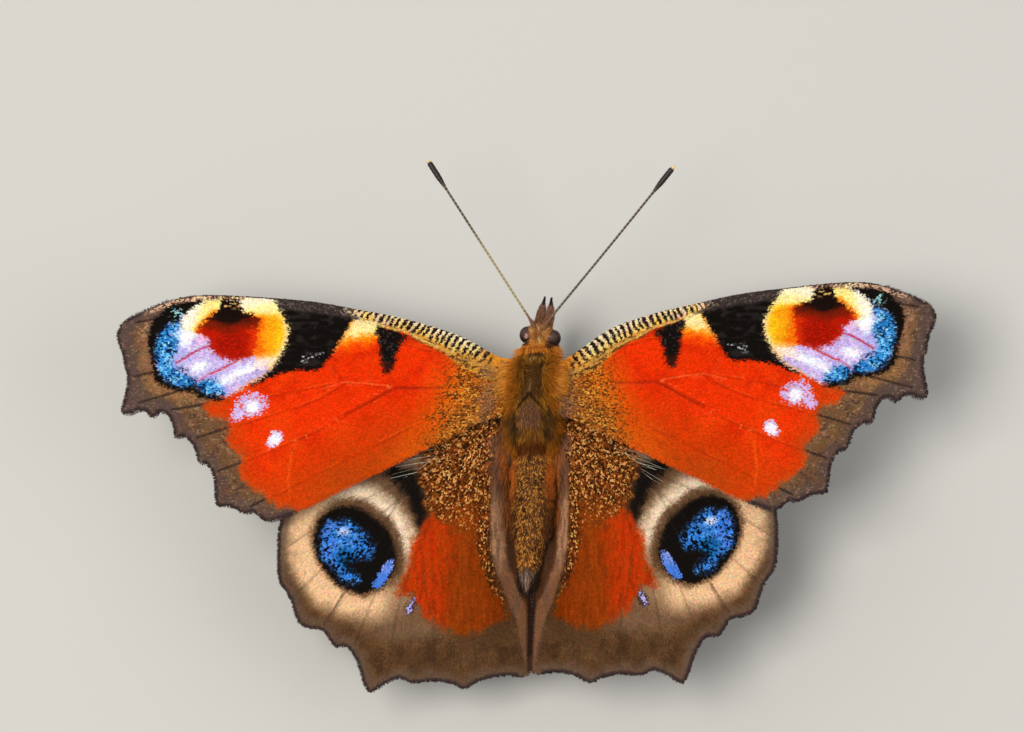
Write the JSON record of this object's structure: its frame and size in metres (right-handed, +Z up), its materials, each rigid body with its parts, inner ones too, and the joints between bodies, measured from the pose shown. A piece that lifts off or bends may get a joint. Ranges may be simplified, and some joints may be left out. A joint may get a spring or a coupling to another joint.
{
  "type": "peacock butterfly",
  "caption": "Still life-size peacock butterfly at rest with flat spread scalloped wings, raised wing veins, furred body, large eyes, clubbed antennae, coiled tongue and slender standing legs.",
  "frame": {"origin": "centre of the bounding box in plan, on the floor under the feet", "axes": "+X to the animal's right across its wings, +Y toward its head, +Z up"},
  "size_m": [0.0644, 0.0416, 0.0122],
  "materials": {
    "forewing_scales": "matte overlapping wing scales, orange-red with yellow, black and blue eyespot",
    "hindwing_scales": "matte overlapping wing scales, brown margin, rust patch and dark blue eyespot",
    "thorax_fur": "short olive-brown and orange-brown fur",
    "head_fur": "short dark brown fur",
    "abdomen_scales": "brown fur and scales speckled with gold",
    "compound_eye": "dark faceted eye with a soft gloss",
    "dark_cuticle": "dark, finely ringed cuticle",
    "leg_scales": "brown scaled cuticle"
  },
  "bodies": {
    "root": {"head": "head_fur", "eye_left": "compound_eye", "eye_right": "compound_eye", "antenna_left": "dark_cuticle", "antenna_right": "dark_cuticle", "palp_left": "head_fur", "palp_right": "head_fur", "proboscis": "dark_cuticle", "prothorax": "thorax_fur", "thorax": "thorax_fur", "abdomen": "abdomen_scales", "forewing_left": "forewing_scales", "forewing_right": "forewing_scales", "hindwing_left": "hindwing_scales", "hindwing_right": "hindwing_scales", "foreleg_left": "leg_scales", "foreleg_right": "leg_scales", "midleg_left": "leg_scales", "midleg_right": "leg_scales", "hindleg_left": "leg_scales", "hindleg_right": "leg_scales"}
  },
  "joints": []
}
